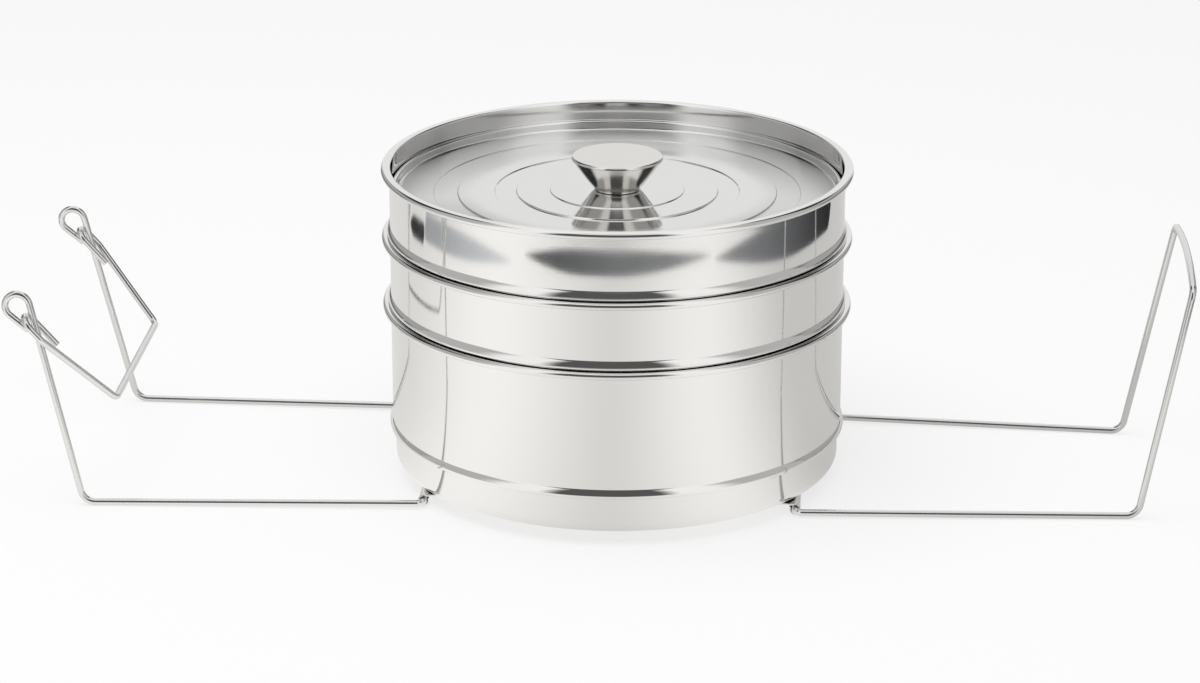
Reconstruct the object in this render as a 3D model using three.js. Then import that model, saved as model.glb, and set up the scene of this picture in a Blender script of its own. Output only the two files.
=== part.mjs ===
// A stacking steamer: three nesting pans under a sunken lid, standing in a folding wire sling.
// Millimetres, +Z up. The origin is the middle of the sling plate's underside, under the pans' axis.
// The sling is laid open: its two handles lie out to -X and +X, and the lock bail hangs on the left one.
import * as THREE from 'three';

// Pans, pressed from sheet
const PAN_RADIUS = 95;
const PAN_SHEET = 0.7;
const DEEP_PAN_HEIGHT = 70.3;
const SHALLOW_PAN_HEIGHT = 44.7;
const FOOT_HEIGHT = 15.57;
const FOOT_CORNER = 4.5;
const NEST_CLEARANCE = 0.5;
const BEAD_HEIGHT = 3.9;
const BEAD_LIP = 0.9;
const BEAD_REACH = 1.2;
const RIM_REACH = 3.4;
const RIM_HEIGHT = 3.1;
const RIM_FILLET = 1;

// Lid, with a folded edge, a dished plate and two pressed grooves round a raised middle
const LID_SHEET = 0.7;
const LID_CLEARANCE = 0.4;
const LID_HEIGHT = 19.9;
const LID_HEM_WIDTH = 1.8;
const LID_HEM_ROUND = 0.6;
const LID_DISH_DEPTH = 3.9;
const LID_DISH_FILLET = 1.6;
const LID_STEP_WIDTH = 1.2;
const OUTER_GROOVE_RADIUS = 71.5;
const OUTER_GROOVE_WIDTH = 10;
const INNER_GROOVE_RADIUS = 46.5;
const INNER_GROOVE_WIDTH = 9;
const GROOVE_DEPTH = 0.4;
const GROOVE_RISE = 0.6;
const PLATEAU_RADIUS = 28;
const PLATEAU_RISE = 0.4;

// Knob and its fastening
const KNOB_RADIUS = 19.2;
const KNOB_HEIGHT = 14.4;
const KNOB_FOOT_RADIUS = 9.9;
const KNOB_FOOT_HEIGHT = 0.5;
const KNOB_EDGE = 1.2;
const KNOB_FLARE_POWER = 0.9;
const SCREW_RADIUS = 2.5;
const SCREW_REACH = 7;
const SCREW_HEAD_RADIUS = 4.6;
const SCREW_HEAD_HEIGHT = 2.6;
const SCREW_HEAD_ROUND = 1.2;
const SCREW_CLEARANCE = 0.3;
const WASHER_RADIUS = 6;
const WASHER_SHEET = 1;

// Sling plate, with both ends rolled under into hinge barrels
const PLATE_SHEET = 0.7;
const PLATE_WIDTH = 109;
const HINGE_SPACING = 154;
const BARREL_CLEARANCE = 0.25;
const BARREL_WRAP = 300;
const CRANK_RUN = 1;
const CRANK_DROP = 0.2;

// Sling wires
const WIRE_DIAMETER = 2.9;
const ARM_LENGTH = 141;
const HINGE_BEND = 3.5;
const ARM_BEND = 6;
const LEFT_ARM_SPAN = 125.4;
const LEFT_EYE_SPAN = 117.8;
const LEFT_UPRIGHT = 87.3;
const LEFT_LEAN = 13;
const EYE_RADIUS = 5.1;
const EYE_TAPER = 37.6;
const RIGHT_ARM_SPAN = 99.6;
const RIGHT_GRIP_SPAN = 88.6;
const RIGHT_UPRIGHT = 97.7;
const RIGHT_LEAN = 10.8;
const GRIP_BEND = 4;
const GRIP_BOW = 3;
const ROD_BUTT_GAP = 0.6;
const BAIL_LEG = 51.5;
const BAIL_ANGLE = 41.5;
const BAIL_SPAN = 95;
const BAIL_BEND = 4;
const BAIL_HOOK_RADIUS = 4.7;
const BAIL_HOOK_LENGTH = 11;
const BAIL_TAIL = 18;
const HOOK_CLEARANCE = 0.45;

// Clearance left between pieces that rest on each other
const SEAT_GAP = 0.3;

// Fineness of the round forms
const RING_SIDES = 48;
const SMALL_RING_SIDES = 24;
const WIRE_SIDES = 10;
const ARC_STEP = 45;
const WIRE_BEND_STEP = 24;
const WIRE_BEND_RUN = 12;

const POLISHED = { color: 0xdcdcda, roughness: 0.12, metalness: 1 };
const SATIN = { color: 0xc9c6c0, roughness: 0.32, metalness: 1 };

// Sizes that follow from the ones above
const PAN_INSIDE = PAN_RADIUS - PAN_SHEET;
const FOOT_RADIUS = PAN_INSIDE - NEST_CLEARANCE;
const BEAD_DEPTH = PAN_RADIUS + BEAD_REACH - FOOT_RADIUS;
const BEAD_EDGE = FOOT_HEIGHT + BEAD_LIP;
const LID_RADIUS = PAN_INSIDE - LID_CLEARANCE;
const LID_DISH_RADIUS = LID_RADIUS - LID_HEM_WIDTH;
const SCREW_HOLE = SCREW_RADIUS + SCREW_CLEARANCE;
const WIRE_RADIUS = WIRE_DIAMETER / 2;
const BARREL_BORE = WIRE_RADIUS + BARREL_CLEARANCE;
const BARREL_RADIUS = BARREL_BORE + PLATE_SHEET;
const HINGE_X = HINGE_SPACING / 2;
const BARREL_TOP = PLATE_SHEET - CRANK_DROP;
const HINGE_Z = BARREL_TOP - BARREL_RADIUS;
const TABLE_Z = HINGE_Z - BARREL_RADIUS;
const HINGE_HALF = PLATE_WIDTH / 2 + HINGE_BEND;

const radians = THREE.MathUtils.degToRad;

// Points along an elliptic arc in a radius-height plane, angles in degrees
function arc(centreR, centreZ, sizeR, sizeZ, from, to) {
  const steps = Math.max(2, Math.ceil(Math.abs(to - from) / ARC_STEP));
  const points = [];
  for (let i = 0; i <= steps; i += 1) {
    const angle = radians(from + ((to - from) * i) / steps);
    points.push(new THREE.Vector2(centreR + sizeR * Math.cos(angle), centreZ + sizeZ * Math.sin(angle)));
  }
  return points;
}

function at(r, z) {
  return new THREE.Vector2(r, z);
}

// A solid of revolution about Z from a profile that runs counter-clockwise in the radius-height plane
function revolve(profile, sides) {
  const geometry = new THREE.LatheGeometry(profile, sides);
  geometry.rotateX(Math.PI / 2);
  return geometry;
}

function piece(name, geometry, finish) {
  const mesh = new THREE.Mesh(geometry, new THREE.MeshStandardMaterial(finish));
  mesh.name = name;
  return mesh;
}

// One pan: floor, drawn-in foot, bead with a low lip, straight wall and rolled rim, from its own underside at zero
function panGeometry(height) {
  const beadRise = BEAD_HEIGHT - BEAD_LIP;
  const beadRound = (BEAD_REACH ** 2 + beadRise ** 2) / (2 * BEAD_REACH);
  const beadTurn = THREE.MathUtils.radToDeg(Math.asin(Math.min(1, beadRise / beadRound)));
  const beadCentre = PAN_RADIUS + BEAD_REACH - beadRound;
  const rimRound = RIM_HEIGHT / 2;
  const rimCentre = PAN_RADIUS + RIM_REACH - rimRound;
  const outside = [
    at(0, 0),
    ...arc(FOOT_RADIUS - FOOT_CORNER, FOOT_CORNER, FOOT_CORNER, FOOT_CORNER, -90, 0),
    ...arc(FOOT_RADIUS, BEAD_EDGE, BEAD_DEPTH, BEAD_LIP, -90, 0),
    ...arc(beadCentre, BEAD_EDGE, beadRound, beadRound, 0, beadTurn).slice(1),
    at(PAN_RADIUS, height - RIM_HEIGHT),
    ...arc(rimCentre, height - rimRound, rimRound, rimRound, -90, 90),
  ];
  const footInside = FOOT_CORNER - PAN_SHEET;
  const inside = [
    ...arc(PAN_INSIDE + RIM_FILLET, height - RIM_FILLET, RIM_FILLET, RIM_FILLET, 90, 180),
    ...arc(beadCentre - PAN_SHEET, BEAD_EDGE, beadRound, beadRound, beadTurn, 0),
    ...arc(FOOT_RADIUS - PAN_SHEET, BEAD_EDGE, BEAD_DEPTH, BEAD_LIP - PAN_SHEET, 0, -90).slice(1),
    ...arc(FOOT_RADIUS - FOOT_CORNER, FOOT_CORNER, footInside, footInside, 0, -90),
    at(0, PAN_SHEET),
  ];
  return revolve([...outside, ...inside], RING_SIDES);
}

// Height on a pan, from its underside, where its bead meets the rim of the pan below
function beadSeat() {
  const share = (PAN_INSIDE + RIM_FILLET - FOOT_RADIUS) / BEAD_DEPTH;
  return BEAD_EDGE - BEAD_LIP * Math.sqrt(Math.max(0, 1 - share ** 2));
}

// Height inside a pan, from its underside, of the shoulder that carries the lid's skirt
function lidSeat() {
  const share = (LID_RADIUS - (FOOT_RADIUS - PAN_SHEET)) / BEAD_DEPTH;
  return BEAD_EDGE - (BEAD_LIP - PAN_SHEET) * Math.sqrt(Math.max(0, 1 - share ** 2));
}

// The lid plate's steps from its edge inwards: where each one lies and how far it rises
function lidSteps() {
  return [
    { radius: OUTER_GROOVE_RADIUS + OUTER_GROOVE_WIDTH / 2, rise: -GROOVE_DEPTH },
    { radius: OUTER_GROOVE_RADIUS - OUTER_GROOVE_WIDTH / 2, rise: GROOVE_RISE },
    { radius: INNER_GROOVE_RADIUS + INNER_GROOVE_WIDTH / 2, rise: -GROOVE_DEPTH },
    { radius: INNER_GROOVE_RADIUS - INNER_GROOVE_WIDTH / 2, rise: GROOVE_RISE },
    { radius: PLATEAU_RADIUS, rise: PLATEAU_RISE },
  ];
}

// The plate's upper face from its edge inwards, at heights above the lid's lowest edge
function lidPlateTop() {
  let z = LID_HEIGHT - LID_DISH_DEPTH;
  const points = [];
  for (const step of lidSteps()) {
    points.push(at(step.radius + LID_STEP_WIDTH / 2, z));
    z += step.rise;
    points.push(at(step.radius - LID_STEP_WIDTH / 2, z));
  }
  points.push(at(SCREW_HOLE, z));
  return points;
}

function lidPlateauHeight() {
  return lidPlateTop().at(-1).y;
}

// Lid, from its skirt's lowest edge at zero: plate, dish wall, folded edge and outer skirt
function lidGeometry() {
  const plateTop = lidPlateTop();
  const underside = plateTop.map((p) => at(p.x, p.y - LID_SHEET)).reverse();
  const dishZ = LID_HEIGHT - LID_DISH_DEPTH;
  const hem = LID_HEM_WIDTH / 2;
  const hemCentre = LID_RADIUS - hem;
  const outerFillet = LID_DISH_FILLET + LID_SHEET;
  const profile = [
    ...underside,
    ...arc(LID_DISH_RADIUS - LID_DISH_FILLET, dishZ + LID_DISH_FILLET, outerFillet, outerFillet, -90, 0),
    at(LID_DISH_RADIUS + LID_SHEET, LID_HEIGHT - LID_SHEET),
    at(LID_RADIUS - LID_SHEET, LID_HEIGHT - LID_SHEET),
    at(LID_RADIUS - LID_SHEET, 0),
    at(LID_RADIUS, 0),
    ...arc(hemCentre, LID_HEIGHT - LID_HEM_ROUND, hem, LID_HEM_ROUND, 0, 180),
    ...arc(LID_DISH_RADIUS - LID_DISH_FILLET, dishZ + LID_DISH_FILLET, LID_DISH_FILLET, LID_DISH_FILLET, 0, -90),
    ...plateTop,
    underside[0].clone(),
  ];
  return revolve(profile, RING_SIDES);
}

// Flared knob, from its foot at zero, with a blind hole for the screw
function knobGeometry() {
  const flareHeight = KNOB_HEIGHT - KNOB_EDGE - KNOB_FOOT_HEIGHT;
  const flareSteps = 6;
  const flare = [];
  for (let i = 0; i <= flareSteps; i += 1) {
    const share = i / flareSteps;
    const r = KNOB_FOOT_RADIUS + (KNOB_RADIUS - KNOB_FOOT_RADIUS) * share ** KNOB_FLARE_POWER;
    flare.push(at(r, KNOB_FOOT_HEIGHT + flareHeight * share));
  }
  const holeTop = SCREW_REACH + SCREW_CLEARANCE;
  const profile = [
    at(0, holeTop),
    at(SCREW_HOLE, holeTop),
    at(SCREW_HOLE, 0),
    at(KNOB_FOOT_RADIUS, 0),
    ...flare,
    ...arc(KNOB_RADIUS - KNOB_EDGE, KNOB_HEIGHT - KNOB_EDGE, KNOB_EDGE, KNOB_EDGE, 0, 90).slice(1),
    at(0, KNOB_HEIGHT),
  ];
  return revolve(profile, SMALL_RING_SIDES);
}

// Round-headed screw, from the underside of its head at zero, reaching up through washer, lid and knob
function screwGeometry() {
  const shank = SCREW_HEAD_HEIGHT + SEAT_GAP + WASHER_SHEET + SEAT_GAP + LID_SHEET + SEAT_GAP + SCREW_REACH;
  const profile = [
    at(0, 0),
    ...arc(SCREW_HEAD_RADIUS - SCREW_HEAD_ROUND, SCREW_HEAD_ROUND, SCREW_HEAD_ROUND, SCREW_HEAD_ROUND, -90, 0),
    at(SCREW_HEAD_RADIUS, SCREW_HEAD_HEIGHT),
    at(SCREW_RADIUS, SCREW_HEAD_HEIGHT),
    at(SCREW_RADIUS, shank),
    at(0, shank),
  ];
  return revolve(profile, SMALL_RING_SIDES);
}

function washerGeometry() {
  const profile = [
    at(SCREW_HOLE, 0),
    at(WASHER_RADIUS, 0),
    at(WASHER_RADIUS, WASHER_SHEET),
    at(SCREW_HOLE, WASHER_SHEET),
    at(SCREW_HOLE, 0),
  ];
  return revolve(profile, SMALL_RING_SIDES);
}

// Sling plate: one strip, cranked down a little at both ends and curled under there,
// drawn as an X-Z section and pushed out along Y
function slingPlateGeometry() {
  const section = new THREE.Shape();
  const wrap = radians(BARREL_WRAP);
  const top = Math.PI / 2;
  const crankEnd = HINGE_X - BARREL_RADIUS;
  const crankStart = crankEnd - CRANK_RUN;
  section.moveTo(-HINGE_X, BARREL_TOP);
  section.lineTo(-crankEnd, BARREL_TOP);
  section.lineTo(-crankStart, PLATE_SHEET);
  section.lineTo(crankStart, PLATE_SHEET);
  section.lineTo(crankEnd, BARREL_TOP);
  section.lineTo(HINGE_X, BARREL_TOP);
  section.absarc(HINGE_X, HINGE_Z, BARREL_RADIUS, top, top - wrap, true);
  section.absarc(HINGE_X, HINGE_Z, BARREL_BORE, top - wrap, top, false);
  section.lineTo(crankEnd, -CRANK_DROP);
  section.lineTo(crankStart, 0);
  section.lineTo(-crankStart, 0);
  section.lineTo(-crankEnd, -CRANK_DROP);
  section.lineTo(-HINGE_X, -CRANK_DROP);
  section.absarc(-HINGE_X, HINGE_Z, BARREL_BORE, top, top + wrap, false);
  section.absarc(-HINGE_X, HINGE_Z, BARREL_RADIUS, top + wrap, top, true);
  const geometry = new THREE.ExtrudeGeometry(section, {
    depth: PLATE_WIDTH,
    bevelEnabled: false,
    curveSegments: 8,
  });
  geometry.translate(0, 0, -PLATE_WIDTH / 2);
  geometry.rotateX(Math.PI / 2);
  return geometry;
}

// A wire's centre line: straight runs between corners, each corner rounded to its own bend radius.
// It is sampled only where the wire bends, so a straight run is a single step.
class BentWire extends THREE.Curve {
  constructor(corners) {
    super();
    this.stations = [];
    const last = corners.length - 1;
    corners.forEach((corner, i) => {
      if (i === 0 || i === last) {
        this.addStation(corner.point, this.runDirection(corners, i === 0 ? 0 : last - 1));
      } else {
        this.addBend(corners, i);
      }
    });
  }

  runDirection(corners, i) {
    return corners[i + 1].point.clone().sub(corners[i].point).normalize();
  }

  addStation(point, tangent) {
    const previous = this.stations.at(-1);
    if (!previous || previous.point.distanceTo(point) > 1e-3) {
      this.stations.push({ point, tangent });
    }
  }

  addBend(corners, i) {
    const { point, bend } = corners[i];
    const into = this.runDirection(corners, i - 1);
    const out = this.runDirection(corners, i);
    const turn = into.angleTo(out);
    const setback = bend * Math.tan(turn / 2);
    const start = point.clone().addScaledVector(into, -setback);
    const towards = out.clone().addScaledVector(into, -out.dot(into)).normalize();
    const byAngle = THREE.MathUtils.radToDeg(turn) / WIRE_BEND_STEP;
    const byLength = (bend * turn) / WIRE_BEND_RUN;
    const steps = Math.max(2, Math.ceil(byAngle), Math.ceil(byLength));
    for (let k = 0; k <= steps; k += 1) {
      const angle = (turn * k) / steps;
      const along = start.clone().addScaledVector(into, bend * Math.sin(angle));
      along.addScaledVector(towards, bend * (1 - Math.cos(angle)));
      const tangent = into.clone().multiplyScalar(Math.cos(angle)).addScaledVector(towards, Math.sin(angle));
      this.addStation(along, tangent);
    }
  }

  get steps() {
    return this.stations.length - 1;
  }

  getPointAt(u, target = new THREE.Vector3()) {
    return target.copy(this.stations[Math.round(u * this.steps)].point);
  }

  getTangentAt(u, target = new THREE.Vector3()) {
    return target.copy(this.stations[Math.round(u * this.steps)].tangent);
  }
}

function wireGeometry(corners) {
  const path = new BentWire(corners);
  const section = [];
  for (let i = 0; i < WIRE_SIDES; i += 1) {
    const angle = (2 * Math.PI * i) / WIRE_SIDES;
    section.push(new THREE.Vector2(WIRE_RADIUS * Math.cos(angle), WIRE_RADIUS * Math.sin(angle)));
  }
  return new THREE.ExtrudeGeometry(new THREE.Shape(section), {
    steps: path.steps,
    bevelEnabled: false,
    extrudePath: path,
  });
}

function corner(x, y, z, bend = 0) {
  return { point: new THREE.Vector3(x, y, z), bend };
}

// The same corners on the other side of the X-Z plane, in reverse order
function mirrored(corners) {
  return corners.map(({ point, bend }) => corner(point.x, -point.y, point.z, bend)).reverse();
}

// One side of a handle, at +Y: the hinge corner, the arm's bend and the direction of its leaning upright.
// The arm droops from the barrel until the wire lies on the table.
function handleSide(outward, armSpan, topSpan, upright, lean) {
  const hinge = new THREE.Vector3(outward * HINGE_X, HINGE_HALF, HINGE_Z);
  const foot = new THREE.Vector3(outward * (HINGE_X + ARM_LENGTH), armSpan / 2, TABLE_Z + WIRE_RADIUS);
  const rise = upright * Math.cos(radians(lean));
  const reach = upright * Math.sin(radians(lean));
  const top = new THREE.Vector3(foot.x + outward * reach, topSpan / 2, foot.z + rise);
  return { hinge, foot, top };
}

function at3(point, bend) {
  return corner(point.x, point.y, point.z, bend);
}

// The left eye at +Y: a drop-shaped loop on the outer side of the upright, its tail ending short of the wire
function leftEye() {
  const side = handleSide(-1, LEFT_ARM_SPAN, LEFT_EYE_SPAN, LEFT_UPRIGHT, LEFT_LEAN);
  const up = side.top.clone().sub(side.foot).normalize();
  const out = new THREE.Vector3(-1, 0, 0);
  out.addScaledVector(up, -out.dot(up)).normalize();
  const half = radians(EYE_TAPER / 2);
  const point = (along, across) => side.top.clone().addScaledVector(up, along).addScaledVector(out, across);
  const apex = point(-EYE_RADIUS / Math.tan(half), 0);
  const axis = up.clone().multiplyScalar(Math.cos(half)).addScaledVector(out, Math.sin(half));
  const cross = out.clone().multiplyScalar(Math.cos(half)).addScaledVector(up, -Math.sin(half));
  const tailward = up.clone().multiplyScalar(Math.cos(2 * half)).addScaledVector(out, Math.sin(2 * half));
  const crown = apex.clone().addScaledVector(axis, EYE_RADIUS / Math.sin(half) + EYE_RADIUS);
  const crownHalf = EYE_RADIUS * Math.tan(radians(45) + half / 2);
  const tailStart = (WIRE_DIAMETER + SEAT_GAP) / Math.sin(2 * half);
  const hook = (WIRE_DIAMETER + HOOK_CLEARANCE) / Math.sin(half);
  return {
    ...side,
    tail: apex.clone().addScaledVector(tailward, tailStart),
    outerCrown: crown.clone().addScaledVector(cross, crownHalf),
    innerCrown: crown.clone().addScaledVector(cross, -crownHalf),
    pivot: apex.clone().addScaledVector(axis, hook),
  };
}

// Left handle: one wire from eye to eye through the left barrel
function leftHandleGeometry() {
  const eye = leftEye();
  const rear = [
    at3(eye.hinge, HINGE_BEND),
    at3(eye.foot, ARM_BEND),
    at3(eye.innerCrown, EYE_RADIUS),
    at3(eye.outerCrown, EYE_RADIUS),
    at3(eye.tail, 0),
  ];
  return wireGeometry([...mirrored(rear), ...rear]);
}

// Right handle: one closed loop of wire with a bowed grip, its ends meeting inside the right barrel
function rightHandleGeometry() {
  const side = handleSide(1, RIGHT_ARM_SPAN, RIGHT_GRIP_SPAN, RIGHT_UPRIGHT, RIGHT_LEAN);
  const up = side.top.clone().sub(side.foot).setY(0).normalize();
  const crest = side.top.clone().setY(0).addScaledVector(up, 2 * GRIP_BOW);
  const gripRun = RIGHT_GRIP_SPAN / 2 - 2 * GRIP_BEND;
  const gripRound = gripRun / Math.tan(Math.atan((2 * GRIP_BOW) / (RIGHT_GRIP_SPAN / 2)));
  const rear = [
    corner(side.hinge.x, ROD_BUTT_GAP / 2, side.hinge.z),
    at3(side.hinge, HINGE_BEND),
    at3(side.foot, ARM_BEND),
    at3(side.top, GRIP_BEND),
  ];
  return wireGeometry([...rear, at3(crest, gripRound), ...mirrored(rear)]);
}

// Lock bail: a wire frame hooked through both eyes, its hooks bent back on their inner sides
function lockBailGeometry() {
  const { pivot } = leftEye();
  const fall = radians(BAIL_ANGLE);
  const down = new THREE.Vector3(Math.sin(fall), 0, -Math.cos(fall));
  const strand = (along, y) => pivot.clone().addScaledVector(down, along).setY(y);
  const outerY = pivot.y + BAIL_HOOK_RADIUS;
  const innerY = pivot.y - BAIL_HOOK_RADIUS;
  const rear = [
    at3(strand(BAIL_LEG, BAIL_SPAN / 2), BAIL_BEND),
    at3(strand(BAIL_HOOK_LENGTH, outerY), BAIL_BEND),
    at3(strand(0, outerY), BAIL_HOOK_RADIUS),
    at3(strand(0, innerY), BAIL_HOOK_RADIUS),
    at3(strand(BAIL_TAIL, innerY), 0),
  ];
  return wireGeometry([...mirrored(rear), ...rear]);
}

// Sling: the plate lies open between its two handles
const sling = new THREE.Group();
sling.add(
  piece('sling_base', slingPlateGeometry(), POLISHED),
  piece('left_handle', leftHandleGeometry(), POLISHED),
  piece('right_handle', rightHandleGeometry(), POLISHED),
  piece('lock_bail', lockBailGeometry(), POLISHED),
);

// Pans: the deep one stands on the plate, and each bead above rests on the rim below
const stack = new THREE.Group();
stack.position.z = PLATE_SHEET + SEAT_GAP;
const bottomPan = piece('bottom_pan', panGeometry(DEEP_PAN_HEIGHT), POLISHED);
const middlePan = piece('middle_pan', panGeometry(SHALLOW_PAN_HEIGHT), POLISHED);
const topPan = piece('top_pan', panGeometry(SHALLOW_PAN_HEIGHT), POLISHED);
middlePan.position.z = DEEP_PAN_HEIGHT + SEAT_GAP - beadSeat();
topPan.position.z = middlePan.position.z + SHALLOW_PAN_HEIGHT + SEAT_GAP - beadSeat();
stack.add(bottomPan, middlePan, topPan);

// Lid: its skirt stands on the shoulder inside the top pan, and the screw draws the knob down on its middle
const cover = new THREE.Group();
cover.position.z = topPan.position.z + lidSeat() + SEAT_GAP;
const plateau = lidPlateauHeight();
const knob = piece('lid_knob', knobGeometry(), SATIN);
const washer = piece('knob_washer', washerGeometry(), SATIN);
const screw = piece('knob_screw', screwGeometry(), SATIN);
knob.position.z = plateau + SEAT_GAP;
washer.position.z = plateau - LID_SHEET - SEAT_GAP - WASHER_SHEET;
screw.position.z = washer.position.z - SEAT_GAP - SCREW_HEAD_HEIGHT;
cover.add(piece('lid', lidGeometry(), POLISHED), knob, washer, screw);
stack.add(cover);

const steamer = new THREE.Group();
steamer.add(sling, stack);

export default steamer;
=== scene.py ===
"""Looks of a stacking steamer: three nested pans and a sunken lid, standing in a folding wire sling.

Sizes are millimetres, with +Z up and the origin under the sling plate, as in the frame.
"""
import math

import bmesh
import bpy
from mathutils import Matrix, Vector


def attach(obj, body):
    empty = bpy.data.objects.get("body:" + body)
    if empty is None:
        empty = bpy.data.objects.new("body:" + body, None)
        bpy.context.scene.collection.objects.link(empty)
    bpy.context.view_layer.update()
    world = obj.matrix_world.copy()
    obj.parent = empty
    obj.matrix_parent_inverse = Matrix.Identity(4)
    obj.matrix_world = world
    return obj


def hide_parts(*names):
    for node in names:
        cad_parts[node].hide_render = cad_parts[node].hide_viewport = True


MM = 0.001
QUARTER_TURN = 0.25

# Pans
PAN_RADIUS = 95.0
PAN_SHEET = 0.7
DEEP_PAN_HEIGHT = 70.3
SHALLOW_PAN_HEIGHT = 44.7
FOOT_HEIGHT = 15.57
FOOT_CORNER = 4.5
NEST_CLEARANCE = 0.5
BEAD_HEIGHT = 3.9
BEAD_LIP = 0.9
BEAD_REACH = 1.2
RIM_REACH = 3.4
RIM_HEIGHT = 3.1
RIM_FILLET = 1.0

# Lid
LID_SHEET = 0.7
LID_CLEARANCE = 0.4
LID_HEIGHT = 19.9
LID_HEM_WIDTH = 1.8
LID_HEM_ROUND = 0.9
LID_DISH_DEPTH = 3.9
LID_DISH_FILLET = 1.0
LID_STEP_WIDTH = 0.5
OUTER_GROOVE_RADIUS = 71.5
OUTER_GROOVE_WIDTH = 10.0
INNER_GROOVE_RADIUS = 46.5
INNER_GROOVE_WIDTH = 9.0
GROOVE_DEPTH = 0.4
GROOVE_RISE = 0.6
PLATEAU_RADIUS = 28.0
PLATEAU_RISE = 0.4

# Knob and its fastening
KNOB_RADIUS = 19.2
KNOB_HEIGHT = 14.4
KNOB_FOOT_RADIUS = 9.9
KNOB_FOOT_HEIGHT = 0.9
KNOB_EDGE = 1.2
KNOB_FLARE_POWER = 0.9
SCREW_RADIUS = 2.5
SCREW_REACH = 7.0
SCREW_HEAD_RADIUS = 4.6
SCREW_HEAD_HEIGHT = 2.6
SCREW_HEAD_ROUND = 1.2
SCREW_CLEARANCE = 0.3
WASHER_RADIUS = 6.0
WASHER_SHEET = 1.0

# Sling
PLATE_SHEET = 0.7
PLATE_WIDTH = 109.0
HINGE_X = 77.0
BARREL_CLEARANCE = 0.25
BARREL_WRAP = 300.0
CRANK_RUN = 1.0
CRANK_DROP = 0.2
WIRE_RADIUS = 1.45
ARM_LENGTH = 141.0
HINGE_BEND = 3.5
ARM_BEND = 6.0
LEFT_ARM_SPAN = 125.4
LEFT_EYE_SPAN = 117.8
LEFT_UPRIGHT = 87.3
LEFT_LEAN = 13.0
EYE_RADIUS = 5.1
EYE_TAPER = 37.6
RIGHT_ARM_SPAN = 99.6
RIGHT_GRIP_SPAN = 88.6
RIGHT_UPRIGHT = 97.7
RIGHT_LEAN = 10.8
GRIP_BEND = 4.0
GRIP_BOW = 3.0
ROD_BUTT_GAP = 0.6
BAIL_LEG = 51.5
BAIL_ANGLE = 41.5
BAIL_SPAN = 95.0
BAIL_BEND = 4.0
BAIL_HOOK_RADIUS = 4.7
BAIL_HOOK_LENGTH = 11.0
BAIL_TAIL = 18.0
HOOK_CLEARANCE = 0.45
SEAT_GAP = 0.3

# Small forms that the solids leave out
FOOT_EDGE = 0.3
FOOT_EDGE_RUN = 0.5
BEAD_FILLET = 0.8
RIM_SLIT = 0.5
RIM_SLIT_TOP = 1.5
RIM_CURL = 0.5
SKIRT_EDGE = 0.2
WIRE_BREAK = 0.22
STRIP_BREAK = 0.16
WASHER_BREAK = 0.15
THREAD_PITCH = 0.4
THREAD_DEPTH = 0.22
THREAD_START = 2.4
THREAD_ROOM = 3.0
SCREW_TIP = 0.3
CROSS_REACH = 2.6
CROSS_HALF = 0.55
CROSS_DEPTH = 2.6
KNOB_GAP = 0.05

# Cuts of the meshes: rings on flat faces, steps along curves, and the angles at which edges are sharp
FLOOR_RINGS = (0.0, 30.0, 60.0)
PLATEAU_RINGS = (20.0, 10.0)
KNOB_RINGS = (12.0, 6.0, 0.0)
RIM_CUT = 3.0
STEP_CUTS = 12
FLARE_CUTS = 24
BARREL_CUTS = 60
BAND_CUTS = 64
KNOB_SIDES = 128
SCREW_SIDES = 64
SHARP_EDGE = 32.0
SHARP_WIRE = 50.0
SHARP_STRIP = 60.0

# Lid finish: where the satin ring fades, in metres, and the share of its roughness left on either side
SATIN_FADE_INSIDE = 0.014
SATIN_FADE_OUTSIDE = 0.001
SATIN_LEFT_INSIDE = 0.18
SATIN_LEFT_OUTSIDE = 0.15

# Studio: degrees from the front or above the horizon, metres, and tones of which 1 is white
FRONT_END = (24, 36)
PANEL_DIMMING = (52, 70)
CORNER_START = (106, 116)
LOW_START = (100, 112)
LOW_TOP = (22, 30)
BACKDROP_START = (148, 162)
CEILING_DROP = (142, 160)
ZENITH_START = (76, 84)
DARK_FRONT = 0.1
DIM_SIDE = 0.5
DARK_CORNER = 0.06
LOW_CORNER = 0.4
WHITE_BACK = 0.88
CEILING_FRONT = 54.0
CEILING_BACK = 31.0
CEILING_FADE = 8.0
DIM_ZENITH = 0.55
TABLE_HALF = 8.0
# Painted reflection on the table: where its painted walls begin, and its painted tone by direction
TABLE_END = (0.55, 0.64)
TABLE_TURN = (-60.0, 110.0)
TABLE_BACK = (130.0, 175.0)
TABLE_PAINTED_TONE = {"left": 0.76, "right": 0.58, "back": 0.67}
# Shares of the table's even white glow seen by the camera, and of its painted reflection seen in reflections
TABLE_GLOW_SEEN = 0.7
TABLE_PAINTED_REFLECTION_SHARE = 0.8
WORLD_LIGHT = 0.6
LAMP_PLACE = (-0.25, -0.3, 1.5)
LAMP_AIM = (0.0, 0.0, 0.05)
LAMP_SIZE = (1.6, 1.2)
LAMP_WATTS = 14.0
# Two pools of light painted into the table's reflection, placed by direction
PAINTED_POOLS = (
    # middle, half width, strength
    (-52.0, 62.0, 0.32),
    (42.0, 48.0, 0.38),
)
BAND_LIFT = 0.0005
# Painted dark reflections: strips round the table's edge that glow dimly and that only reflections see
PAINTED_REFLECTION_BANDS = (
    # name, radius, half width, from, to, tone at the start, at the end, taper at the start, at the end
    ("edge_left_dark", 0.434, 0.0185, -113, -99, 0.025, 0.03, 4, 1),
    ("edge_left_grey", 0.448, 0.024, -99, -44, 0.4, 0.66, 1, 40),
    ("edge_front", 0.464, 0.021, -39, 47, 0.1, 0.26, 26, 46),
    ("edge_right", 0.456, 0.038, 47, 128, 0.24, 0.03, 50, 5),
)

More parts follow.
